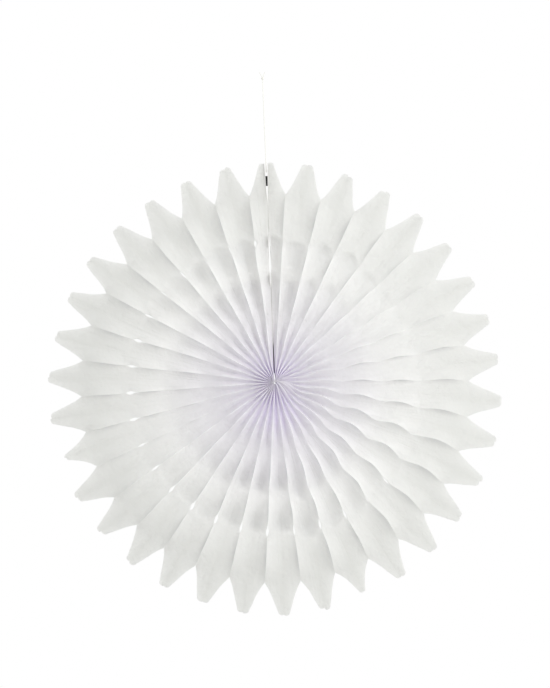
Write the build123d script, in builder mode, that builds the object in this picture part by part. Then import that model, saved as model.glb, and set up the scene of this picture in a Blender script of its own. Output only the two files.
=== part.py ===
"""Hanging paper fan: a ring of glued tissue cells between two end cards, clipped shut, on a thread."""

import os
from math import cos, pi, sin, sqrt, tan

from build123d import *

os.makedirs("parts", exist_ok=True)

# Driving dimensions in mm: the fan stands in the XZ plane about the origin and faces -Y.
petal_count = 34
tip_radius = 226.0
petal_length = 33.0
tip_length = 8.0
tip_half_width = 8.2
tip_steps = 2

# Die-cut edge of every sheet: round lobes between waists, counted inwards from the notch.
rim_lobe_length = 49.0
lobe_pitch = 38.5
lobe_steps = 4
waist_half_width = 13.4
lobe_half_width = 19.5

# Glued honeycomb: its depth where it is stretched flat, and how its valleys fill up at the hub.
tissue_thickness = 0.45
flat_half_depth = 1.4
valley_half_depth = 0.6
hollow_start = 20.0
hub_hole_radius = 1.0
hub_half_depth = 15.0
glue_tolerance = 1e-4

# Small eye-shaped gaps where the pleats are stretched open.
eye_length = 9.0
eye_width = 3.2

# Seam at the top: two end cards with a gap, held by a folded clip on their rear edges.
card_gap = 2.0
card_thickness = 0.5
card_inner_radius = 16.0
clip_length = 10.0
clip_from_tip = 11.4
clip_thickness = 0.4
clip_leg = 8.0
clip_clearance = 0.05

# Thread: pressed between the cards at its lower knot, tied off at the top with two short tails.
thread_diameter = 1.0
thread_length = 90.0
knot_diameter = 2.8
knot_length = 3.0
knot_chamfer = 0.2
lower_knot_from_tip = 6.5
tail_diameter = 0.8
tail_length = 7.0
tail_lean = 25.0

# Sizes and places that follow from the driving dimensions.
pitch_angle = 360 / petal_count
pitch_tangent = tan(pi / petal_count)
notch_radius = tip_radius - petal_length
shoulder_radius = tip_radius - tip_length
eye_radius = notch_radius - rim_lobe_length
cell_end = tip_radius + tip_length
cut_end = cell_end + tip_length
seam_half_width = card_gap / 2 + card_thickness
hollow_end = notch_radius - rim_lobe_length / lobe_steps
clip_low = tip_radius - clip_from_tip - clip_length

waists = [notch_radius, eye_radius]
while waists[-1] > 0:
    waists.append(waists[-1] - lobe_pitch)
waists.reverse()
lobes = list(zip(waists, waists[1:]))
hollow_low = next(waist for waist in waists if waist > hollow_start)


def valley_offset(radius):
    """Half the distance between two neighbouring glue lines."""
    return radius * pitch_tangent


def edge_half_width(waist):
    """Half width of the sheet at a waist; at the notch it reaches just across one petal."""
    return valley_offset(waist) if waist == notch_radius else waist_half_width


def sheet_half_width(radius):
    """Half width of the flat sheet, from its glue line to its die-cut edge."""
    if radius >= notch_radius:
        share = min(1, (radius - notch_radius) / (shoulder_radius - notch_radius))
        return edge_half_width(notch_radius) * (1 - share) + tip_half_width * share
    start, end = next(lobe for lobe in lobes if lobe[0] <= radius < lobe[1])
    share = (radius - start) / (end - start)
    chord = edge_half_width(start) * (1 - share) + edge_half_width(end) * share
    rise = lobe_half_width - (edge_half_width(start) + edge_half_width(end)) / 2
    return chord + rise * sin(pi * share)


def ridge_depth(radius):
    """How far a pleat's ridge stands from the middle plane once the sheets are spread."""
    spread = sheet_half_width(radius) ** 2 - valley_offset(radius) ** 2
    return sqrt(max(spread, flat_half_depth**2))


def inner_ridge_depth(radius):
    """The ridge seen from inside its cell, a sheet's thickness lower."""
    slope = ridge_depth(radius) / valley_offset(radius)
    return ridge_depth(radius) - tissue_thickness * sqrt(1 + slope**2)


def valley_depth(radius):
    """Half depth of the glued valley, which fills up towards the hub."""
    return hub_half_depth if radius == hub_hole_radius else valley_half_depth


def petal_point(across, radius):
    """A point on the petal half a pitch to the right of a ridge: across its axis, and out along it."""
    turned = Vector(across, radius).rotate(Axis.Z, -pitch_angle / 2)
    return (turned.X, turned.Y)


def step_middle(line):
    """Where the first step of a line of points has its middle, as a radius."""
    return (line[0][2] + line[1][2]) / 2


def triangles_between(first, second):
    """Flat triangles that join two lines of points, both running outwards."""
    faces = []
    first, second = list(first), list(second)
    while len(first) + len(second) > 2:
        step_first = len(second) == 1 or (len(first) > 1 and step_middle(first) <= step_middle(second))
        corner = first[1] if step_first else second[1]
        faces.append(Face(Wire.make_polygon([first[0], second[0], corner])))
        (first if step_first else second).pop(0)
    return faces


def pleated_solid(ridge, valley):
    """A cell between a front and a back ridge, (radius, depth), and two valleys, (radius, side, depth)."""
    faces = []
    for right in (1, -1):
        edges = {}
        for back in (1, -1):
            edges[back] = [(right * side, back * depth, radius) for radius, side, depth in valley]
            top = [(0, back * depth, radius) for radius, depth in ridge]
            faces += triangles_between(top, edges[back])
        faces.append(Face(Wire.make_polygon(edges[1] + edges[-1][::-1])))
    for (radius, side, low), (_, high) in ((valley[0], ridge[0]), (valley[-1], ridge[-1])):
        half = [(side, -low, radius), (side, low, radius), (0, high, radius)]
        rest = [(-side, low, radius), (-side, -low, radius), (0, -high, radius)]
        faces.append(Face(Wire.make_polygon(half + rest)))
    return Solid(Shell(faces))


def free_faces(cell, middle):
    """The faces of a cell about the given angle, without those on its two glue planes."""
    sides = [Vector(1, 0, 0).rotate(Axis.Y, middle + half * pitch_angle) for half in (-0.5, 0.5)]
    return [
        face
        for face in cell.faces()
        if all(abs(face.center().dot(side)) > glue_tolerance for side in sides)
    ]


ridge_radii = [hub_hole_radius]
inner_ridge_radii = []
for start, end in lobes:
    marks = [start + (end - start) * step / lobe_steps for step in range(lobe_steps)]
    ridge_radii += [mark for mark in marks if mark > 2 * hub_hole_radius]
    inner_ridge_radii += [mark for mark in (start, (start + end) / 2) if mark >= hollow_low]
ridge_radii += [notch_radius, cell_end]
inner_ridge_radii += [hollow_end]
valley_radii = [hub_hole_radius] + [waist for waist in waists if waist >= hollow_low] + [cell_end]
inner_valley_radii = valley_radii[1:-2] + [hollow_end]

outer_ridge = [(radius, ridge_depth(radius)) for radius in ridge_radii]
outer_valley = [(radius, valley_offset(radius), valley_depth(radius)) for radius in valley_radii]
inner_ridge = [(radius, inner_ridge_depth(radius)) for radius in inner_ridge_radii]
inner_valley = [
    (radius, valley_offset(radius) - tissue_thickness, valley_half_depth / 2)
    for radius in inner_valley_radii
]

# The round left side of the petal tip to the right of a ridge.
tip_turns = [pi / 2 * step / tip_steps for step in range(tip_steps + 1)]
tip_points = [
    petal_point(-tip_half_width * cos(turn), shoulder_radius + tip_length * sin(turn)) for turn in tip_turns
]

# The die-cut outline of one sheet: depth across, radius up.
with BuildSketch() as sheet_outline:
    with BuildLine():
        Line((0, card_inner_radius), (sheet_half_width(card_inner_radius), card_inner_radius))
        for start, end in lobes:
            if end > card_inner_radius:
                low = max(start, card_inner_radius)
                crest = (low + end) / 2
                ThreePointArc(
                    (sheet_half_width(low), low),
                    (sheet_half_width(crest), crest),
                    (edge_half_width(end), end),
                )
        Line((edge_half_width(notch_radius), notch_radius), (tip_half_width, shoulder_radius))
        EllipticalCenterArc((0, shoulder_radius), tip_half_width, tip_length, arc_size=90)
        mirror(about=Plane.YZ)
    make_face()

# One cell of the honeycomb along +Z, with its eye and the notch between two petals.
with BuildPart() as pleat_cell:
    add(pleated_solid(outer_ridge, outer_valley))
    add(pleated_solid(inner_ridge, inner_valley), mode=Mode.SUBTRACT)
    with BuildSketch(Plane.XZ):
        with BuildLine():
            Polyline(
                (0, eye_radius - eye_length / 2),
                (eye_width / 2, eye_radius),
                (0, eye_radius + eye_length / 2),
            )
            mirror(about=Plane.YZ)
        make_face()
        with BuildLine():
            Polyline((0, notch_radius), *tip_points, petal_point(0, cut_end), (0, cut_end))
            mirror(about=Plane.YZ)
        make_face()
    extrude(amount=lobe_half_width, both=True, mode=Mode.SUBTRACT)

# The cell beside the seam, cut back to the end card and closed by its own glued sheet.
with BuildPart() as seam_cell:
    add(pleat_cell.part.rotate(Axis.Y, pitch_angle / 2))
    with BuildSketch(Plane.XZ):
        with Locations((0, card_inner_radius)):
            Rectangle(2 * seam_half_width, tip_radius, align=(Align.CENTER, Align.MIN))
    extrude(amount=2 * lobe_half_width, both=True, mode=Mode.SUBTRACT)
    with BuildSketch(Plane.YZ.offset(seam_half_width)):
        add(sheet_outline.sketch)
    extrude(amount=tissue_thickness)

# The whole honeycomb: every cell joined to its neighbours at the glue lines.
with BuildPart() as tissue_fan:
    sheets = free_faces(seam_cell.part, pitch_angle / 2)
    sheets += [face.mirror(Plane.YZ) for face in sheets]
    for index in range(1, petal_count - 1):
        turn = (index + 0.5) * pitch_angle
        sheets += [face.rotate(Axis.Y, turn) for face in free_faces(pleat_cell.part, 0)]
    add(Solid(Shell(sheets)))

# The two end cards.
with BuildPart() as right_end_card:
    with BuildSketch(Plane.YZ.offset(card_gap / 2)):
        add(sheet_outline.sketch)
    extrude(amount=card_thickness)

with BuildPart() as left_end_card:
    add(right_end_card.part.mirror(Plane.YZ))

# The clip: a folded strip over the rear edges of both cards and their sheets.
clip_inside = seam_half_width + tissue_thickness + clip_clearance
clip_spine = sheet_half_width(clip_low) + clip_clearance
with BuildPart() as closing_clip:
    with BuildSketch(Plane.XY.offset(clip_low)):
        with Locations((0, clip_spine + clip_thickness)):
            Rectangle(
                2 * (clip_inside + clip_thickness),
                clip_leg + clip_thickness,
                align=(Align.CENTER, Align.MAX),
            )
        with Locations((0, clip_spine)):
            Rectangle(2 * clip_inside, clip_leg, align=(Align.CENTER, Align.MAX), mode=Mode.SUBTRACT)
    extrude(amount=clip_length)
    fillet(closing_clip.edges().filter_by(Axis.Z).group_by(Axis.Y)[-1], clip_thickness)

# The thread, between its two knots.
thread_low = tip_radius - lower_knot_from_tip
thread_high = thread_low + thread_length

with BuildPart() as hanging_thread:
    with BuildSketch(Plane.XY.offset(thread_low)):
        Circle(thread_diameter / 2)
    extrude(amount=thread_length)

with BuildPart() as lower_knot:
    with BuildSketch(Plane.XY.offset(thread_low)):
        SlotOverall(knot_diameter, card_gap, rotation=90)
    extrude(amount=-knot_length)
    chamfer(lower_knot.faces().filter_by(Axis.Z).edges(), knot_chamfer)

with BuildPart() as top_knot:
    with BuildSketch(Plane.XY.offset(thread_high)):
        Circle(knot_diameter / 2)
    extrude(amount=knot_length)
    chamfer(top_knot.edges().filter_by(GeomType.CIRCLE), knot_chamfer)
    with Locations((0, 0, thread_high + knot_length / 2)):
        for lean in (tail_lean, -tail_lean):
            Cylinder(
                tail_diameter / 2,
                tail_length,
                rotation=(0, lean, 0),
                align=(Align.CENTER, Align.CENTER, Align.MIN),
            )

nodes = {
    "tissue_fan": tissue_fan,
    "left_end_card": left_end_card,
    "right_end_card": right_end_card,
    "closing_clip": closing_clip,
    "hanging_thread": hanging_thread,
    "lower_knot": lower_knot,
    "top_knot": top_knot,
}
for name, node in nodes.items():
    node.part.label = name
    export_step(node.part, f"parts/{name}.step", write_pcurves=False)
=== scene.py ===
"""Hanging paper fan: tissue honeycomb, end cards, clip, thread and knots, dressed over the CAD frame."""

from math import cos, pi, radians, sin, sqrt, tan

import bpy
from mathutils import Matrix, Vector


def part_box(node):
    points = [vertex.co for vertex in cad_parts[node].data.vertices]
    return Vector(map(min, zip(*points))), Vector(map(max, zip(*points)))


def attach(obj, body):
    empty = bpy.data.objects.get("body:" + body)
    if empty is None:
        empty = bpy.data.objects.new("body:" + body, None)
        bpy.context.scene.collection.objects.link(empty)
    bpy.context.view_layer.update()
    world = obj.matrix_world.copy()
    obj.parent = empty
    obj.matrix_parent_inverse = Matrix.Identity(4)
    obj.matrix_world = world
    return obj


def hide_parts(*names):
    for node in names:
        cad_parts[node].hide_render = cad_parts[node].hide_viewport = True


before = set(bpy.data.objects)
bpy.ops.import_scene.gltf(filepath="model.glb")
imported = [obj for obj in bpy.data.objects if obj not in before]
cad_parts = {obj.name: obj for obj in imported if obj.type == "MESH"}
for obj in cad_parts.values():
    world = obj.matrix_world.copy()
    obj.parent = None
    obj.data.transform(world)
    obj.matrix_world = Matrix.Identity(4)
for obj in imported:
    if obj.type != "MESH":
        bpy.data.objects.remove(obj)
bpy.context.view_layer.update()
fan_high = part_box("tissue_fan")[1]
card_low, card_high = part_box("right_end_card")
card_thickness = card_high.x - card_low.x
thread_low, thread_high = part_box("hanging_thread")

bl_info = {
    "name": "Paper fan rosette",
    "version": (1, 0, 0),
    "blender": (4, 5, 0),
    "location": "View3D > Sidebar > Paper fan",
    "description": "Makes a hanging honeycomb fan of white tissue with its cards, clip and thread",
    "category": "Add Mesh",
}

SEED = 7
LIGHT_BOUNCES = 32
FIRST_COLUMN = 1 / 7
STEPS_PER_LOBE = 9
LOBE_SHARPNESS = 1.5
DOME_SHARPNESS = 1.4
TISSUE_THROUGH = 0.7
THREAD_THROUGH = 0.4
PLY_PITCH = 0.0032
KNOT_SQUEEZE = 0.5
SHEET_VALUES = ("radius", "across", "half_width", "level", "dip", "arch", "waist", "petal_share", "seam")


class FanSizes(bpy.types.PropertyGroup):
    """Sizes of the fan's pieces."""

    petals: bpy.props.IntProperty(
        name="Petals", description="Number of petals round the fan", default=34, min=12
    )
    tip_radius: bpy.props.FloatProperty(
        name="Tip radius", description="From the hub to a petal's tip",
        default=fan_high.z, unit="LENGTH"
    )
    petal_length: bpy.props.FloatProperty(
        name="Petal length", description="From a notch out to the tips",
        default=0.033, unit="LENGTH"
    )
    tip_length: bpy.props.FloatProperty(
        name="Tip length", description="Rounded end of a petal", default=0.0045, unit="LENGTH"
    )
    tip_half_width: bpy.props.FloatProperty(
        name="Tip half width", description="Half width where a tip starts to round",
        default=0.0064, unit="LENGTH"
    )
    blunt_half_width: bpy.props.FloatProperty(
        name="Blunt half width", description="Half width of a tip's blunt end",
        default=0.0026, unit="LENGTH"
    )
    petal_hollow: bpy.props.FloatProperty(
        name="Petal hollow", description="How far a petal's sides curve in",
        default=0.0016, unit="LENGTH"
    )
    rim_lobe_length: bpy.props.FloatProperty(
        name="Rim lobe length", description="From the outer waist to the notch",
        default=0.049, unit="LENGTH"
    )
    lobe_pitch: bpy.props.FloatProperty(
        name="Lobe pitch", description="From waist to waist along a sheet",
        default=0.0385, unit="LENGTH"
    )
    waist_half_width: bpy.props.FloatProperty(
        name="Waist half width", description="Half width of a sheet at a waist",
        default=0.0162, unit="LENGTH"
    )
    lobe_half_width: bpy.props.FloatProperty(
        name="Lobe half width", description="Half width of a sheet at a lobe",
        default=0.0195, unit="LENGTH"
    )
    dome_height: bpy.props.FloatProperty(
        name="Dome height", description="How far forward the valleys lie near the hub",
        default=0.0152, unit="LENGTH"
    )
    dip_depth: bpy.props.FloatProperty(
        name="Dip depth", description="How far a valley dips before a waist",
        default=0.0045, unit="LENGTH"
    )
    dip_start: bpy.props.FloatProperty(
        name="Dip start", description="Radius from which the valleys dip",
        default=0.07, unit="LENGTH"
    )
    least_level: bpy.props.FloatProperty(
        name="Least level", description="How far forward a petal's middle lies",
        default=0.0004, unit="LENGTH"
    )
    card_front: bpy.props.FloatProperty(
        name="Card front", description="Share of its front half that an end card keeps",
        default=0.2, subtype="FACTOR"
    )
    rim_lobe_half_width: bpy.props.FloatProperty(
        name="Rim lobe half width", description="Half width at the outer lobe",
        default=0.0192, unit="LENGTH"
    )
    hub_radius: bpy.props.FloatProperty(
        name="Hub radius", description="Where the sheets start at the hub",
        default=0.0009, unit="LENGTH"
    )
    paper_thickness: bpy.props.FloatProperty(
        name="Paper thickness", description="Thickness of one tissue sheet",
        default=0.0002, unit="LENGTH"
    )
    eye_gap: bpy.props.FloatProperty(
        name="Eye gap", description="Half width of the widest see-through eye",
        default=0.0018, unit="LENGTH"
    )
    eye_half_length: bpy.props.FloatProperty(
        name="Eye half length", description="Half length of an eye", default=0.0055, unit="LENGTH"
    )
    ridge_lean: bpy.props.FloatProperty(
        name="Ridge lean", description="How far a pleat's loose edges lean over at a lobe",
        default=0.0036, unit="LENGTH"
    )
    hub_lift: bpy.props.FloatProperty(
        name="Hub lift", description="How far the rim sags below the hub",
        default=0.006, unit="LENGTH"
    )
    crumple: bpy.props.FloatProperty(
        name="Crumple", description="How far the sheets stray from their rule",
        default=0.0016, unit="LENGTH"
    )
    knot_radius: bpy.props.FloatProperty(
        name="Knot radius", description="Radius of a tied knot", default=0.0014, unit="LENGTH"
    )
    seam_rim_start: bpy.props.FloatProperty(
        name="Seam rim start", description="Where the seam starts to open",
        default=0.187, unit="LENGTH"
    )
    seam_rim_run: bpy.props.FloatProperty(
        name="Seam rim run", description="Over what length it opens fully",
        default=0.02, unit="LENGTH"
    )
    seam_middle: bpy.props.FloatProperty(
        name="Seam middle", description="Radius of the seam's middle opening",
        default=0.129, unit="LENGTH"
    )
    seam_middle_reach: bpy.props.FloatProperty(
        name="Seam middle reach", description="Half length of that opening",
        default=0.026, unit="LENGTH"
    )
    seam_hub: bpy.props.FloatProperty(
        name="Seam hub", description="Radius of the seam's inner opening",
        default=0.03, unit="LENGTH"
    )
    seam_hub_reach: bpy.props.FloatProperty(
        name="Seam hub reach", description="Half length of that opening",
        default=0.018, unit="LENGTH"
    )
    seam_flare_start: bpy.props.FloatProperty(
        name="Seam flare start", description="Where the two tips start to part",
        default=0.213, unit="LENGTH"
    )
    seam_flare_run: bpy.props.FloatProperty(
        name="Seam flare run", description="Over what length the tips part",
        default=0.013, unit="LENGTH"
    )
    seam_flare: bpy.props.FloatProperty(
        name="Seam flare", description="How far they part, as a share of the gap",
        default=0.6, subtype="FACTOR"
    )


class FanColours(bpy.types.PropertyGroup):
    """Colours of the fan's finishes, and of the light and shade painted on the tissue."""

    # Painted light: the tissue is painted darker at the rim and lighter between hub and rim.
    rim: bpy.props.FloatVectorProperty(
        name="Rim", description="Tissue at the rim", subtype="COLOR", default=(0.845, 0.85, 0.83)
    )
    tissue: bpy.props.FloatVectorProperty(
        name="Tissue", description="Tissue between hub and rim",
        subtype="COLOR", default=(0.985, 0.985, 0.98)
    )
    # Painted shade: a violet-grey shade painted deep in the hub's valleys.
    hub: bpy.props.FloatVectorProperty(
        name="Hub", description="Lilac cast deep in the hub",
        subtype="COLOR", default=(0.938, 0.895, 0.993)
    )
    # Painted shade: grey painted where an edge lies under the next one, and in the valleys before a waist.
    tucked_shade: bpy.props.FloatVectorProperty(
        name="Tucked", description="Tissue edge tucked under the next",
        subtype="COLOR", default=(0.55, 0.55, 0.57)
    )
    through: bpy.props.FloatVectorProperty(
        name="Through", description="Light that comes through the tissue",
        subtype="COLOR", default=(0.972, 0.972, 0.968)
    )
    # Violet light through the tissue, mixed in where the hub is painted shaded and a little all round the
    # hub.
    hub_through: bpy.props.FloatVectorProperty(
        name="Hub through", description="Light that comes through at the hub",
        subtype="COLOR", default=(0.957, 0.94, 0.986)
    )
    card: bpy.props.FloatVectorProperty(
        name="Card", description="Uncoated white card", subtype="COLOR", default=(0.82, 0.81, 0.79)
    )
    clip: bpy.props.FloatVectorProperty(
        name="Clip", description="Dark lacquered strip",
        subtype="COLOR", default=(0.045, 0.043, 0.041)
    )
    thread: bpy.props.FloatVectorProperty(
        name="Thread", description="Bleached cotton", subtype="COLOR", default=(0.96, 0.96, 0.93)
    )
    floor: bpy.props.FloatVectorProperty(
        name="Floor", description="Pale floor", subtype="COLOR", default=(0.80, 0.80, 0.79)
    )


class FanStage(bpy.types.PropertyGroup):
    """Camera and light."""

    camera_distance: bpy.props.FloatProperty(
        name="Camera distance", description="From the lens to the fan", default=2.0, unit="LENGTH"
    )
    view_height: bpy.props.FloatProperty(
        name="View height", description="Height of the picture at the fan",
        default=0.688, unit="LENGTH"
    )
    centre_drop: bpy.props.FloatProperty(
        name="Centre drop", description="How far the fan's centre is below the picture's",
        default=0.045, unit="LENGTH"
    )
    lean: bpy.props.FloatProperty(
        name="Lean", description="How far the hanging fan leans in the picture",
        default=radians(2.3), subtype="ANGLE"
    )
    floor_drop: bpy.props.FloatProperty(
        name="Floor drop", description="From the fan's centre to the floor",
        default=0.6, unit="LENGTH"
    )
    room_level: bpy.props.FloatProperty(
        name="Room level", description="Strength of the light from all round", default=0.82
    )
    key_place: bpy.props.FloatVectorProperty(
        name="Key place", description="Where the soft light stands",
        default=(1.69, -1.3, 0.68), unit="LENGTH"
    )
    key_size: bpy.props.FloatProperty(
        name="Key size", description="Width of the soft light", default=1.1, unit="LENGTH"
    )
    floor_half_size: bpy.props.FloatProperty(
        name="Floor half size", description="Half the floor's width", default=1.8, unit="LENGTH"
    )
    key_power: bpy.props.FloatProperty(
        name="Key power", description="Power of the soft light from the upper right",
        default=23.0, unit="POWER"
    )


class Number:
    """A number in a node tree: an expression on it adds the Math nodes that work it out."""

    def __init__(self, maker, socket):
        self.maker = maker
        self.socket = socket

    def __add__(self, other):
        return self.maker.maths("ADD", self, other)

    __radd__ = __add__

    def __sub__(self, other):
        return self.maker.maths("SUBTRACT", self, other)

    def __rsub__(self, other):
        return self.maker.maths("SUBTRACT", other, self)

    def __mul__(self, other):
        return self.maker.maths("MULTIPLY", self, other)

    __rmul__ = __mul__

    def __truediv__(self, other):
        return self.maker.maths("DIVIDE", self, other)

    def __rtruediv__(self, other):
        return self.maker.maths("DIVIDE", other, self)

    def __pow__(self, other):
        return self.maker.maths("POWER", self, other)

    def __mod__(self, other):
        return self.maker.maths("MODULO", self, other)

    def __neg__(self):
        return self.maker.maths("MULTIPLY", self, -1)

    def __abs__(self):
        return self.maker.maths("ABSOLUTE", self)

    def __gt__(self, other):
        return self.maker.maths("GREATER_THAN", self, other)

    def floor(self):
        return self.maker.maths("FLOOR", self)

    def root(self):
        return self.maker.maths("SQRT", self)

    def sine(self):
        return self.maker.maths("SINE", self)

    def cosine(self):
        return self.maker.maths("COSINE", self)

    def tangent(self):
        return self.maker.maths("TANGENT", self)

    def least(self, other):
        return self.maker.maths("MINIMUM", self, other)

    def most(self, other):
        return self.maker.maths("MAXIMUM", self, other)

    def equals(self, other):
        return self.maker.maths("COMPARE", self, other, 0.1)

    def eased(self, low, high):
        """Goes smoothly from 0 at low to 1 at high."""
        node = self.maker.add(
            "ShaderNodeMapRange",
            {"interpolation_type": "SMOOTHSTEP"},
            {"Value": self, "From Min": low, "From Max": high},
        )
        return Number(self.maker, self.maker.output(node, "Result"))


class NodeMaker:
    """Adds nodes to one tree."""

    def __init__(self, tree):
        self.tree = tree

    def add(self, kind, settings=None, inputs=None):
        """A node of that type, with its settings made first and then its sockets set or linked."""
        node = self.tree.nodes.new(kind)
        for name, value in (settings or {}).items():
            setattr(node, name, value)
        for key, value in (inputs or {}).items():
            self.connect(self.find(node.inputs, key), value)
        return node

    def find(self, sockets, key):
        """A socket by its number, or the one in use that has that name."""
        if isinstance(key, int):
            return sockets[key]
        return next(socket for socket in sockets if socket.name == key and socket.enabled)

    def output(self, node, key=0):
        """One of a node's outputs."""
        return self.find(node.outputs, key)

    def number(self, node, key=0):
        """One of a node's outputs, for use in expressions."""
        return Number(self, self.output(node, key))

    def connect(self, socket, value):
        """Links a socket to another one, or gives it a value."""
        if isinstance(value, Number):
            value = value.socket
        if isinstance(value, bpy.types.NodeSocket):
            self.tree.links.new(value, socket)
        elif socket.type == "RGBA":
            socket.default_value = (*value, 1.0)
        else:
            socket.default_value = value

    def maths(self, operation, *values):
        """One Math node."""
        node = self.add("ShaderNodeMath", {"operation": operation}, dict(enumerate(values)))
        return self.number(node)

    def mixed(self, share, first, second):
        """A colour between two colours."""
        node = self.add(
            "ShaderNodeMix",
            {"data_type": "RGBA"},
            {"Factor": share, "A": first, "B": second},
        )
        return self.output(node, "Result")

    def noise(self, place, scale, detail=3.0, roughness=0.5, stretch=0.0):
        """A noise texture's value."""
        node = self.add(
            "ShaderNodeTexNoise",
            {},
            {
                "Vector": place,
                "Scale": scale,
                "Detail": detail,
                "Roughness": roughness,
                "Distortion": stretch,
            },
        )
        return self.number(node, "Fac")


def finish_material(name):
    """A new material, its node maker, its shader and its output."""
    material = bpy.data.materials.new(name)
    material.use_nodes = True
    material.node_tree.nodes.clear()
    maker = NodeMaker(material.node_tree)
    shader = maker.add("ShaderNodeBsdfPrincipled")
    output = maker.add("ShaderNodeOutputMaterial", {}, {"Surface": maker.output(shader)})
    return material, maker, shader, output


def object_place(maker):
    """The object's own coordinates, as a vector and as three numbers."""
    place = maker.output(maker.add("ShaderNodeTexCoord"), "Object")
    axes = maker.add("ShaderNodeSeparateXYZ", {}, {"Vector": place})
    return place, [maker.number(axes, axis) for axis in "XYZ"]


def tissue_material(colours):
    """Thin white tissue: matte, crinkled, light from behind comes through; a violet-grey shade is painted
    deep in the hub's valleys, grey shade where edges lie under the next and in dipped valleys, and the
    tissue is painted lighter towards the middle than at the rim.
    """
    material, maker, shader, output = finish_material("white_tissue")
    place, axes = object_place(maker)
    x, z = axes[0], axes[2]
    radius = (x * x + z * z).root()
    across = maker.number(maker.add("ShaderNodeAttribute", {"attribute_name": "across"}), "Fac")
    # Painted shade: violet-grey deep in the hub's valleys, strongest at the fan's top and bottom; the light
    # through the tissue turns violet there too, and a little all round the hub.
    upright = z / radius
    hub = (1 - radius.eased(0.005, 0.068)) * (1 - across * across) * (0.7 + 0.6 * upright * upright)
    halo = hub.most(0.3 * (1 - radius.eased(0.06, 0.125)))
    # Painted shade read from the points: edges lying under the next one, and the valleys before a waist.
    tucked_shade = maker.number(maker.add("ShaderNodeAttribute", {"attribute_name": "tucked_shade"}), "Fac")
    # Painted light: lighter towards the middle, darker at the rim; the cloud adds random tone at the rim.
    rim = radius.eased(0.105, 0.205)
    cloud = maker.noise(place, 38, 4)
    crinkle = maker.noise(place, 150, 6, 0.62, 0.6)
    fibre = maker.noise(place, 1900, 2)
    crease = abs(maker.noise(place, 60, 3) - 0.5)
    spokes = maker.add(
        "ShaderNodeCombineXYZ", {}, {"X": 30 * x / radius, "Y": 30 * z / radius, "Z": 14 * radius}
    )
    streak = abs(maker.noise(maker.output(spokes), 1.0, 1) - 0.5) * radius.eased(0.03, 0.09)
    outer = maker.mixed(cloud, colours.rim, [0.97 * part for part in colours.rim])
    pale = maker.mixed(rim, colours.tissue, outer)
    lilac_shade = maker.mixed(hub, pale, colours.hub)
    maker.connect(maker.find(shader.inputs, "Base Color"), maker.mixed(tucked_shade**2, lilac_shade, colours.tucked_shade))
    maker.connect(maker.find(shader.inputs, "Roughness"), 0.72 + 0.2 * cloud)
    maker.connect(maker.find(shader.inputs, "Specular IOR Level"), 0.25)
    bump = maker.add(
        "ShaderNodeBump",
        {},
        {
            "Strength": 0.75,
            "Distance": 0.004,
            "Height": 0.2 * crinkle + 0.01 * fibre + 0.9 * crease + 0.4 * streak,
        },
    )
    maker.connect(maker.find(shader.inputs, "Normal"), maker.output(bump))
    through = maker.add(
        "ShaderNodeBsdfTranslucent", {}, {"Color": colours.through, "Normal": maker.output(bump)}
    )
    lilac_through = maker.add(
        "ShaderNodeBsdfTranslucent", {}, {"Color": colours.hub_through, "Normal": maker.output(bump)}
    )
    light = maker.add(
        "ShaderNodeMixShader", {}, {0: halo, 1: maker.output(through), 2: maker.output(lilac_through)}
    )
    both = maker.add(
        "ShaderNodeMixShader",
        {},
        {0: TISSUE_THROUGH, 1: maker.output(shader), 2: maker.output(light)},
    )
    maker.connect(maker.find(output.inputs, "Surface"), maker.output(both))
    return material


def card_material(colours):
    """Uncoated white card with a mottled, slightly fibrous face."""
    material, maker, shader, output = finish_material("white_card")
    place, axes = object_place(maker)
    mottle = maker.noise(place, 260, 5)
    pulp = maker.noise(place, 2200, 3)
    dull = [0.9 * part for part in colours.card]
    maker.connect(maker.find(shader.inputs, "Base Color"), maker.mixed(mottle, colours.card, dull))
    maker.connect(maker.find(shader.inputs, "Roughness"), 0.65 + 0.25 * pulp)
    maker.connect(maker.find(shader.inputs, "Specular IOR Level"), 0.3)
    bump = maker.add("ShaderNodeBump", {}, {"Strength": 0.25, "Distance": 0.0002, "Height": pulp})
    maker.connect(maker.find(shader.inputs, "Normal"), maker.output(bump))
    return material


def clip_material(colours):
    """A dark lacquered strip, worn paler in patches."""
    material, maker, shader, output = finish_material("dark_lacquer")
    place, axes = object_place(maker)
    worn = maker.noise(place, 900, 5).eased(0.55, 0.75)
    streak = maker.noise(place, 3200, 2)
    pale = [3 * part for part in colours.clip]
    maker.connect(maker.find(shader.inputs, "Base Color"), maker.mixed(worn, colours.clip, pale))
    maker.connect(maker.find(shader.inputs, "Roughness"), 0.38 + 0.2 * worn + 0.1 * streak)
    bump = maker.add("ShaderNodeBump", {}, {"Strength": 0.2, "Distance": 0.0001, "Height": streak})
    maker.connect(maker.find(shader.inputs, "Normal"), maker.output(bump))
    return material


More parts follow.
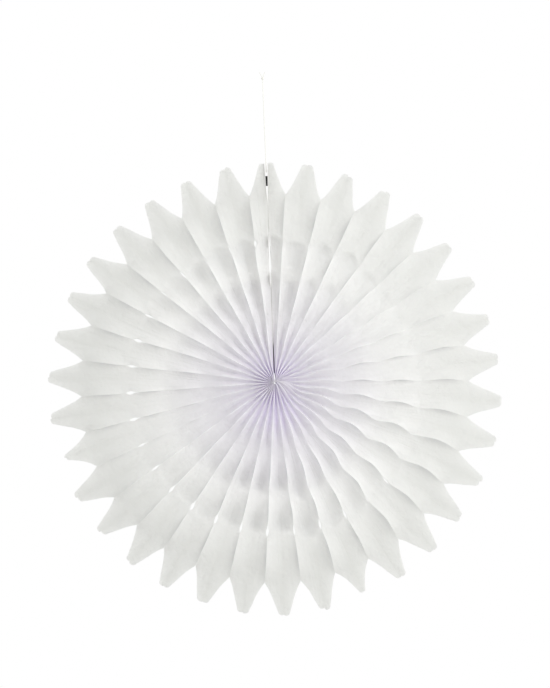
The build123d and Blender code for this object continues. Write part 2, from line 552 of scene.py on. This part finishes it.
def thread_material(colours):
    """Bleached cotton thread, whose plies wind round it."""
    material, maker, shader, output = finish_material("twisted_cotton")
    place, (x, y, z) = object_place(maker)
    round_angle = maker.maths("ARCTAN2", y, x)
    ply = 0.5 + 0.5 * (2 * round_angle + 2 * pi / PLY_PITCH * z).sine()
    fuzz = maker.noise(place, 5200, 3)
    dull = [0.88 * part for part in colours.thread]
    # Painted shade: darker in the grooves between the plies; the fuzz adds random tone.
    shade = (0.3 * (1 - ply) + 0.3 * fuzz).most(0)
    maker.connect(maker.find(shader.inputs, "Base Color"), maker.mixed(shade, colours.thread, dull))
    maker.connect(maker.find(shader.inputs, "Roughness"), 0.8 + 0.15 * fuzz)
    maker.connect(maker.find(shader.inputs, "Sheen Weight"), 0.2)
    bump = maker.add(
        "ShaderNodeBump", {}, {"Strength": 0.15, "Distance": 0.00015, "Height": ply + 0.3 * fuzz}
    )
    maker.connect(maker.find(shader.inputs, "Normal"), maker.output(bump))
    through = maker.add("ShaderNodeBsdfTranslucent", {}, {"Color": colours.thread})
    both = maker.add(
        "ShaderNodeMixShader", {}, {0: THREAD_THROUGH, 1: maker.output(shader), 2: maker.output(through)}
    )
    maker.connect(maker.find(output.inputs, "Surface"), maker.output(both))
    return material


def material_named(name, make):
    """The material of that name, made when it is first asked for."""
    return bpy.data.materials.get(name) or make(bpy.context.scene.fan_colours)


def add_piece(name, mesh):
    """A new object in the scene."""
    piece = bpy.data.objects.new(name, mesh)
    bpy.context.scene.collection.objects.link(piece)
    return piece


def plain_mesh(piece, name):
    """What an object and its modifiers or bevel give, as a mesh of its own."""
    evaluated = piece.evaluated_get(bpy.context.evaluated_depsgraph_get())
    mesh = bpy.data.meshes.new_from_object(evaluated)
    mesh.name = name
    return mesh


def waist_radii(sizes):
    """Where the sheets are narrow, from the hub out to the notch."""
    waists = [sizes.tip_radius - sizes.petal_length]
    waists.append(waists[0] - sizes.rim_lobe_length)
    while waists[-1] > 0:
        waists.append(waists[-1] - sizes.lobe_pitch)
    return waists[::-1]


def lobe_share(sizes, radius):
    """The lobe that a radius lies in, and how far along it."""
    waists = waist_radii(sizes)
    start, end = next(pair for pair in zip(waists, waists[1:]) if pair[0] <= radius < pair[1])
    return start, end, (radius - start) / (end - start)


def sheet_half_width(sizes, radius):
    """Half width of the flat sheet, from its glue line to its die-cut edge."""
    notch = sizes.tip_radius - sizes.petal_length
    shoulder = sizes.tip_radius - sizes.tip_length
    notch_half_width = notch * tan(pi / sizes.petals)
    if radius >= shoulder:
        along = min(1, (radius - shoulder) / sizes.tip_length)
        rounded = sizes.tip_half_width - sizes.blunt_half_width
        return sizes.blunt_half_width + rounded * sqrt(1 - along**2)
    if radius >= notch:
        share = (radius - notch) / (shoulder - notch)
        chord = notch_half_width * (1 - share) + sizes.tip_half_width * share
        return chord - sizes.petal_hollow * 4 * share * (1 - share) ** 2
    start, end, share = lobe_share(sizes, radius)
    end_width = notch_half_width if end == notch else sizes.waist_half_width
    chord = sizes.waist_half_width * (1 - share) + end_width * share
    lobe_width = sizes.rim_lobe_half_width if end == notch else sizes.lobe_half_width
    rise = lobe_width - (sizes.waist_half_width + end_width) / 2
    return chord + rise * sin(pi * share) ** LOBE_SHARPNESS


def valley_level(sizes, radius):
    """How far forward the floor of the valley between two ridges lies."""
    dome = sizes.dome_height * max(0, 1 - (radius / sizes.tip_radius) ** 2) ** DOME_SHARPNESS
    return max(sizes.least_level, dome)


def valley_dip(sizes, radius):
    """Where a valley is deeper, before each of its waists: from 0 to 1."""
    notch = sizes.tip_radius - sizes.petal_length
    if not sizes.dip_start <= radius < notch - sizes.rim_lobe_length:
        return 0
    return sin(pi * lobe_share(sizes, radius)[2] ** 3)


def card_gap_half():
    """Half the gap between the two end cards."""
    return card_low.x


def seam_half_gap(sizes, radius, across):
    """Half the gap between the bowed end cards: open at the rim, half way in, and in front near the hub."""
    rim = min(1, max(0, (radius - sizes.seam_rim_start) / sizes.seam_rim_run))
    half_way = max(0, 1 - ((radius - sizes.seam_middle) / sizes.seam_middle_reach) ** 2)
    near_hub = max(0, 1 - ((radius - sizes.seam_hub) / sizes.seam_hub_reach) ** 2) * max(0, across)
    flare = sizes.seam_flare * max(0, (radius - sizes.seam_flare_start) / sizes.seam_flare_run)
    return card_gap_half() * (max(rim, half_way, near_hub) + flare)


def sheet_stations(sizes):
    """The radii at which a sheet is divided: along its lobes, round its eye and along its petal."""
    waists = waist_radii(sizes)
    notch, eye = waists[-1], waists[-2]
    stations = [sizes.hub_radius]
    for start, end in zip(waists, waists[1:]):
        stations += [start + (end - start) * step / STEPS_PER_LOBE for step in range(STEPS_PER_LOBE)]
    stations += [eye + side * sizes.eye_half_length * part for side in (-1, 1) for part in (0.4, 0.8)]
    petal_turns = [pi / 2 * step / STEPS_PER_LOBE for step in range(STEPS_PER_LOBE + 1)]
    stations += [notch + sizes.petal_length * sin(turn) for turn in petal_turns]
    return sorted(set(radius for radius in stations if radius >= sizes.hub_radius))


def flat_sheet(sizes, inner_radius=0.0):
    """One die-cut sheet, laid flat, with its rule's values kept on its points."""
    columns = [-1, -5 / 7, -3 / 7, -FIRST_COLUMN, 0, FIRST_COLUMN, *(step / 7 for step in range(2, 8))]
    stations = [radius for radius in sheet_stations(sizes) if radius > inner_radius]
    stations = [inner_radius, *stations] if inner_radius else stations
    notch = sizes.tip_radius - sizes.petal_length
    eye = notch - sizes.rim_lobe_length
    points = []
    values = {name: [] for name in SHEET_VALUES}
    for radius in stations:
        half_width = sheet_half_width(sizes, radius)
        level = valley_level(sizes, radius)
        dip = valley_dip(sizes, radius)
        arch = sin(pi * lobe_share(sizes, radius)[2]) ** LOBE_SHARPNESS if radius < notch else 0
        waist = max(0, 1 - ((radius - eye) / sizes.eye_half_length) ** 2)
        petal_share = max(0, (radius - notch) / sizes.petal_length)
        for across in columns:
            points.append((0, -across * half_width, radius))
            seam = seam_half_gap(sizes, radius, across) + card_thickness
            row = (radius, across, half_width, level, dip, arch, waist, petal_share, seam)
            for name, value in zip(values, row):
                values[name].append(value)
    count = len(columns)
    starts = [row * count + column for row in range(len(stations) - 1) for column in range(count - 1)]
    faces = [(start, start + 1, start + count + 1, start + count) for start in starts]
    mesh = bpy.data.meshes.new("flat_sheet")
    mesh.from_pydata(points, [], faces)
    for name, row in values.items():
        mesh.attributes.new(name, "FLOAT", "POINT").data.foreach_set("value", row)
    return mesh


def pleat_tree(settings, material):
    """Stands a flat sheet round the hub twice for each petal, and spreads every one into its pleat."""
    tree = bpy.data.node_groups.new("honeycomb_pleats", "GeometryNodeTree")
    tree.interface.new_socket("Geometry", in_out="INPUT", socket_type="NodeSocketGeometry")
    for name, value in settings.items():
        kind = "NodeSocketInt" if isinstance(value, int) else "NodeSocketFloat"
        tree.interface.new_socket(name, in_out="INPUT", socket_type=kind)
    tree.interface.new_socket("Geometry", in_out="OUTPUT", socket_type="NodeSocketGeometry")
    maker = NodeMaker(tree)
    group = maker.add("NodeGroupInput")
    given = {name: maker.number(group, name) for name in settings}

    line = maker.add("GeometryNodeMeshLine", {}, {"Count": 2 * given["Petals"]})
    sheets = maker.add(
        "GeometryNodeInstanceOnPoints",
        {},
        {"Points": maker.output(line), "Instance": maker.output(group, "Geometry")},
    )
    numbered = maker.add(
        "GeometryNodeStoreNamedAttribute",
        {"data_type": "FLOAT", "domain": "INSTANCE"},
        {
            "Geometry": maker.output(sheets),
            "Name": "sheet",
            "Value": maker.number(maker.add("GeometryNodeInputIndex")),
        },
    )
    loose = maker.add("GeometryNodeRealizeInstances", {}, {"Geometry": maker.output(numbered)})

    def kept(name):
        node = maker.add("GeometryNodeInputNamedAttribute", {"data_type": "FLOAT"}, {"Name": name})
        return maker.number(node, "Attribute")

    def chance(low, high, owner, stream):
        node = maker.add(
            "FunctionNodeRandomValue",
            {"data_type": "FLOAT"},
            {"Min": low, "Max": high, "ID": owner, "Seed": given["Seed"] + stream},
        )
        return maker.number(node, "Value")

    sheet = kept("sheet")
    across = kept("across")
    petal_share = kept("petal_share")
    right = sheet % 2
    side = 2 * right - 1
    petal = (sheet / 2).floor()
    pitch = 2 * pi / given["Petals"]
    turn = petal * pitch
    ridge = (petal + right) % given["Petals"]
    ridge_turn = turn + side * pitch / 2
    front = across > 0
    torn = petal.equals(given["First torn petal"]).most(petal.equals(given["Second torn petal"]))

    # How far a sheet's edges stand off the middle plane, and how much of that is left open as a valley.
    half_width = kept("half_width") * (1 - given["Torn narrowing"] * torn * petal_share)
    offset = kept("radius") * (pitch / 2).tangent()
    stand = (half_width * half_width - offset * offset).most(0).root()
    upright = turn.cosine() * turn.cosine()
    dip = kept("dip") * upright
    level = kept("level") - given["Dip depth"] * dip
    valley = (stand - level).most(0)

    # At each lobe one of a ridge's two loose edges stands over the other: on the fan's lower right the one
    # before it, on its upper left the one after it. On the right the two also lean over sideways.
    over = front * (2.2 * (ridge_turn - given["Over angle"]).cosine()).most(-1).least(1)
    over = over * kept("radius").eased(0.03, 0.08)
    leaning = (ridge_turn - given["Lean angle"]).cosine().most(0) ** 2
    lean = front * leaning * chance(0.6, 1.2, ridge, 1) * kept("arch") * given["Ridge lean"]
    raised = valley * (1 + side * given["Overlap"] * over) * chance(0.75, 1.25, ridge, 5)
    splay = chance(given["Least splay"], given["Most splay"], sheet, 4)
    raised = raised + petal_share * half_width * splay.sine()
    shut = 0.5 + 0.5 * (ridge_turn - given["Shut angle"]).cosine()
    wide_open = (1 - shut) ** 0.7 * chance(0.45, 1.1, ridge, 2) + 0.7 * ridge.equals(0)
    eye = kept("waist") * given["Eye gap"] * wide_open
    reach = (offset - side * lean).least(half_width * splay.cosine()) - eye

    # A sheet runs straight forward along its glue line up to its first column, and parts from there.
    closed = given["First column"]
    share = abs(across)
    opened = ((share - closed) / (1 - closed)).most(0)
    under = 0.5 - 0.5 * side * over
    rounding = 1.2 + (given["Valley rounding"] + 1.2 * under) * kept("radius").eased(0.03, 0.1)
    sideways = side * (reach * opened + petal.equals(0) * kept("seam"))
    straight = level * (share / closed).least(1)
    forward = (2 * front - 1) * (straight + raised * opened**rounding)
    forward = forward + given["Torn bend"] * torn * petal_share
    # Between the ridges a waist bows out towards the rim, and at the tip the two sheets part a little.
    ringed = kept("radius").eased(0.04, 0.07) * (1 - kept("radius").eased(0.15, 0.185))
    bow = given["Waist bow"] * (1 - opened * opened) * ringed * chance(0.2, 1.8, petal, 6)
    dimple = given["Tip dimple"] * (1 - share / 0.4).most(0) * petal_share**8
    uneven = chance(-1 * given["Uneven tips"], given["Uneven tips"], sheet, 3)
    radius = kept("radius") + bow - dimple + petal_share * (uneven - given["Torn off"] * torn)
    lift = given["Hub lift"] * (1 - (radius / given["Tip radius"]).eased(0, 1))
    spot = maker.add(
        "ShaderNodeCombineXYZ",
        {},
        {
            "X": radius * turn.sine() + sideways * turn.cosine(),
            "Y": -forward,
            "Z": radius * turn.cosine() - sideways * turn.sine() + lift,
        },
    )
    # Painted shade, kept on the points for the tissue's colour: darker where an edge lies under the next
    # one, and in the valley before a waist, most at the fan's top and bottom.
    edge = ((share - 0.7) / 0.3).most(0)
    tucked_shade = under * front * kept("arch") * kept("radius").eased(0.05, 0.09) * edge
    layered_shade = front * given["Layered shade"] * dip**0.3 * upright * (1 - opened**4)
    shaded = maker.add(
        "GeometryNodeStoreNamedAttribute",
        {"data_type": "FLOAT", "domain": "POINT"},
        {"Geometry": maker.output(loose), "Name": "tucked_shade", "Value": layered_shade.most(tucked_shade)},
    )
    spread = maker.add(
        "GeometryNodeSetPosition",
        {},
        {"Geometry": maker.output(shaded), "Position": maker.output(spot)},
    )
    stray = maker.add(
        "ShaderNodeTexNoise",
        {},
        {"Vector": maker.output(maker.add("GeometryNodeInputPosition")), "Scale": 24.0, "Detail": 3.0},
    )
    centred = maker.add(
        "ShaderNodeVectorMath",
        {"operation": "SUBTRACT"},
        {0: maker.output(stray, "Color"), 1: (0.5, 0.5, 0.5)},
    )
    amount = given["Crumple"] * 2 * (kept("radius") / given["Tip radius"])
    scaled = maker.add(
        "ShaderNodeVectorMath",
        {"operation": "SCALE"},
        {"Vector": maker.output(centred), "Scale": amount},
    )
    crumpled = maker.add(
        "GeometryNodeSetPosition",
        {},
        {"Geometry": maker.output(spread), "Offset": maker.output(scaled)},
    )
    smooth = maker.add("GeometryNodeSetShadeSmooth", {}, {"Geometry": maker.output(crumpled)})
    real = maker.add("GeometryNodeRealizeInstances", {}, {"Geometry": maker.output(smooth)})
    painted = maker.add(
        "GeometryNodeSetMaterial", {}, {"Geometry": maker.output(real), "Material": material}
    )
    maker.add("NodeGroupOutput", {}, {"Geometry": maker.output(painted)})
    return tree


class FAN_OT_stage(bpy.types.Operator):
    """Set up the camera, the light and the floor"""

    bl_idname = "fan.stage"
    bl_label = "Stage"

    def execute(self, context):
        scene = context.scene
        stage = scene.fan_stage
        scene.view_settings.view_transform = "Standard"
        for kind in ("max", "diffuse", "transmission"):
            setattr(scene.cycles, f"{kind}_bounces", LIGHT_BOUNCES)

        lens = bpy.data.cameras.new("front_view")
        lens.sensor_fit = "VERTICAL"
        lens.lens = lens.sensor_height * stage.camera_distance / stage.view_height
        lens.shift_y = stage.centre_drop / stage.view_height
        camera = add_piece("front_view", lens)
        camera.location = (0, -stage.camera_distance, 0)
        camera.rotation_euler = (pi / 2, stage.lean, 0)
        scene.camera = camera

        lamp = bpy.data.lights.new("soft_key", "AREA")
        lamp.shape = "DISK"
        lamp.size = stage.key_size
        lamp.energy = stage.key_power
        key = add_piece("soft_key", lamp)
        key.location = stage.key_place
        key.rotation_euler = (-key.location).to_track_quat("-Z", "Y").to_euler()

        world = bpy.data.worlds.new("white_room")
        world.use_nodes = True
        world.node_tree.nodes.clear()
        maker = NodeMaker(world.node_tree)
        ray = maker.add("ShaderNodeLightPath")
        kinds = [maker.number(ray, f"Is {kind} Ray") for kind in ("Camera", "Glossy", "Transmission")]
        seen = kinds[0].most(kinds[1]).most(kinds[2])
        room = maker.add("ShaderNodeBackground", {}, {"Color": (1, 1, 1), "Strength": stage.room_level})
        white = maker.add("ShaderNodeBackground", {}, {"Color": (1, 1, 1), "Strength": 1.0})
        both = maker.add(
            "ShaderNodeMixShader", {}, {0: seen, 1: maker.output(room), 2: maker.output(white)}
        )
        maker.add("ShaderNodeOutputWorld", {}, {"Surface": maker.output(both)})
        scene.world = world

        half = stage.floor_half_size
        corners = [(-half, -half), (half, -half), (half, half), (-half, half)]
        mesh = bpy.data.meshes.new("floor")
        mesh.from_pydata([(x, y, -stage.floor_drop) for x, y in corners], [], [(0, 1, 2, 3)])
        floor = add_piece("floor", mesh)
        material, maker, shader, output = finish_material("pale_floor")
        place, axes = object_place(maker)
        grain = maker.noise(place, 30, 4)
        colour = scene.fan_colours.floor
        dull = [0.97 * part for part in colour]
        maker.connect(maker.find(shader.inputs, "Base Color"), maker.mixed(grain, colour, dull))
        maker.connect(maker.find(shader.inputs, "Roughness"), 0.8 + 0.1 * grain)
        mesh.materials.append(material)
        return {"FINISHED"}


class FAN_OT_knots(bpy.types.Operator):
    """Tie the knots at both ends of the thread"""

    bl_idname = "fan.knots"
    bl_label = "Knots"

    def execute(self, context):
        sizes = context.scene.fan_sizes
        strand = (thread_high.x - thread_low.x) / 2
        pressed = KNOT_SQUEEZE * card_gap_half() / sizes.knot_radius
        for name, squeeze, tails in (("lower_knot", pressed, 0), ("top_knot", 1, 2)):
            low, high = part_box(name)
            knot_height = 2 * sizes.knot_radius
            base = low.z if tails else high.z - knot_height
            bend = bpy.data.curves.new(name, "CURVE")
            bend.dimensions = "3D"
            bend.bevel_depth = 0.8 * strand
            bend.bevel_resolution = 2
            bend.resolution_u = 4
            bend.use_fill_caps = True
            ring = bend.splines.new("NURBS")
            turns = [2 * pi * step / 18 for step in range(18)]
            ring.points.add(len(turns) - 1)
            wide = (sizes.knot_radius - bend.bevel_depth) / 3
            for point, turn in zip(ring.points, turns):
                across = wide * (sin(turn) + 2 * sin(2 * turn)) * squeeze
                deep = wide * (cos(turn) - 2 * cos(2 * turn))
                high_up = (knot_height / 2 - bend.bevel_depth) * sin(3 * turn)
                point.co = (across, deep, base + knot_height / 2 + high_up, 1)
            ring.use_cyclic_u = True
            ring.order_u = 3
            for side in (-1, 1)[:tails]:
                tail = bend.splines.new("NURBS")
                tail.points.add(3)
                for step, point in enumerate(tail.points):
                    along = step / 3
                    point.co = (
                        side * (high.x - strand) * (0.55 * along + 0.45 * along**2),
                        0.0003 * side * sin(pi * along),
                        base + knot_height * 0.5 + (high.z - strand - base - knot_height * 0.5) * along,
                        1,
                    )
                tail.order_u = 3
                tail.use_endpoint_u = True
            draft = add_piece(name + "_draft", bend)
            mesh = plain_mesh(draft, name + "_tied")
            bpy.data.objects.remove(draft)
            knot = add_piece(name + "_tied", mesh)
            mesh.materials.clear()
            mesh.materials.append(material_named("twisted_cotton", thread_material))
            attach(knot, "root")
            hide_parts(name)
        return {"FINISHED"}


class FAN_OT_thread(bpy.types.Operator):
    """Hang the thread between its two knots"""

    bl_idname = "fan.thread"
    bl_label = "Thread"

    def execute(self, context):
        length = thread_high.z - thread_low.z
        diameter = thread_high.x - thread_low.x
        line = bpy.data.curves.new("hanging_cotton", "CURVE")
        line.dimensions = "3D"
        line.bevel_depth = diameter / 2
        line.bevel_resolution = 3
        line.use_fill_caps = True
        spline = line.splines.new("NURBS")
        spline.points.add(3)
        for step, point in enumerate(spline.points):
            point.co = (0, 0, thread_low.z + length * step / 3, 1)
        spline.order_u = 3
        spline.use_endpoint_u = True
        thread = add_piece("hanging_cotton", line)
        line.materials.append(material_named("twisted_cotton", thread_material))
        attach(thread, "root")
        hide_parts("hanging_thread")
        return {"FINISHED"}


class FAN_OT_tissue(bpy.types.Operator):
    """Pleat the tissue honeycomb round the hub"""

    bl_idname = "fan.tissue"
    bl_label = "Tissue honeycomb"

    def execute(self, context):
        sizes = context.scene.fan_sizes
        settings = {
            "Petals": sizes.petals,
            "Seed": SEED,
            "Tip radius": sizes.tip_radius,
            "Ridge lean": sizes.ridge_lean,
            "Eye gap": sizes.eye_gap,
            "Hub lift": sizes.hub_lift,
            "Dip depth": sizes.dip_depth,
            "Crumple": sizes.crumple,
            "Valley rounding": 0.5,
            "Overlap": 0.25,
            "Waist bow": 0.006,
            "First column": FIRST_COLUMN,
            "First torn petal": 24,
            "Second torn petal": 15,
            "Torn narrowing": 0.45,
            "Torn bend": 0.004,
            "Torn off": 0.006,
            "Over angle": radians(145),
            "Lean angle": radians(112),
            "Shut angle": radians(60),
            "Least splay": radians(3),
            "Most splay": radians(9),
            "Tip dimple": 0.0014,
            "Uneven tips": 0.0012,
            # Strength of the painted shade in the valleys before a waist.
            "Layered shade": 0.58,
        }
        tree = pleat_tree(settings, material_named("white_tissue", tissue_material))
        draft = add_piece("flat_sheet", flat_sheet(sizes))
        pleats = draft.modifiers.new("pleats", "NODES")
        pleats.node_group = tree
        for item in tree.interface.items_tree:
            if item.name in settings:
                pleats[item.identifier] = settings[item.name]
        wall = draft.modifiers.new("wall", "SOLIDIFY")
        wall.thickness = sizes.paper_thickness
        wall.offset = 0
        mesh = plain_mesh(draft, "tissue_honeycomb")
        mesh.set_sharp_from_angle(angle=radians(50))
        for value in SHEET_VALUES:
            if value != "across":
                mesh.attributes.remove(mesh.attributes[value])
        bpy.data.objects.remove(draft)
        tissue = add_piece("tissue_honeycomb", mesh)
        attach(tissue, "root")
        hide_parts("tissue_fan")
        return {"FINISHED"}


class FAN_OT_cards(bpy.types.Operator):
    """Cut the two end cards and bow them against each other"""

    bl_idname = "fan.cards"
    bl_label = "End cards"

    def execute(self, context):
        sizes = context.scene.fan_sizes
        for name, side in (("left_end_card", -1), ("right_end_card", 1)):
            draft = add_piece(name + "_draft", flat_sheet(sizes, card_low.z))
            for point in draft.data.vertices:
                across = -point.co.y / sheet_half_width(sizes, point.co.z)
                half_gap = seam_half_gap(sizes, point.co.z, across)
                if across > 0:
                    dip = sizes.dip_depth * valley_dip(sizes, point.co.z)
                    floor = valley_level(sizes, point.co.z) - dip
                    point.co.y = min(sizes.card_front * point.co.y, -across * floor)
                point.co.x = side * (half_gap + card_thickness / 2)
            wall = draft.modifiers.new("wall", "SOLIDIFY")
            wall.thickness = card_thickness
            wall.offset = 0
            mesh = plain_mesh(draft, name + "_bowed")
            bpy.data.objects.remove(draft)
            for value in SHEET_VALUES:
                mesh.attributes.remove(mesh.attributes[value])
            mesh.materials.append(material_named("white_card", card_material))
            card = add_piece(name + "_bowed", mesh)
            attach(card, "root")
            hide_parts(name)
        return {"FINISHED"}


class FAN_OT_clip(bpy.types.Operator):
    """Finish the clip that holds the cards together"""

    bl_idname = "fan.clip"
    bl_label = "Clip"

    def execute(self, context):
        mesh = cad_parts["closing_clip"].data
        mesh.materials.clear()
        mesh.materials.append(material_named("dark_lacquer", clip_material))
        return {"FINISHED"}


class FAN_PT_panel(bpy.types.Panel):
    """Lists the fan's pieces, sizes and colours"""

    bl_idname = "FAN_PT_panel"
    bl_label = "Paper fan"
    bl_space_type = "VIEW_3D"
    bl_region_type = "UI"
    bl_category = "Paper fan"

    def draw(self, context):
        for operator in OPERATORS:
            self.layout.operator(operator.bl_idname)
        for group in (context.scene.fan_sizes, context.scene.fan_colours, context.scene.fan_stage):
            box = self.layout.box()
            for name in group.__annotations__:
                box.prop(group, name)


GROUPS = {"fan_sizes": FanSizes, "fan_colours": FanColours, "fan_stage": FanStage}
OPERATORS = (FAN_OT_stage, FAN_OT_knots, FAN_OT_thread, FAN_OT_tissue, FAN_OT_cards, FAN_OT_clip)
CLASSES = (*GROUPS.values(), *OPERATORS, FAN_PT_panel)


def register():
    for item in CLASSES:
        bpy.utils.register_class(item)
    for name, group in GROUPS.items():
        setattr(bpy.types.Scene, name, bpy.props.PointerProperty(type=group))


def unregister():
    for name in GROUPS:
        delattr(bpy.types.Scene, name)
    for item in reversed(CLASSES):
        bpy.utils.unregister_class(item)


def main():
    register()
    bpy.ops.fan.stage()
    bpy.ops.fan.knots()
    bpy.ops.fan.thread()
    bpy.ops.fan.tissue()
    bpy.ops.fan.cards()
    bpy.ops.fan.clip()


if __name__ == "__main__":
    main()
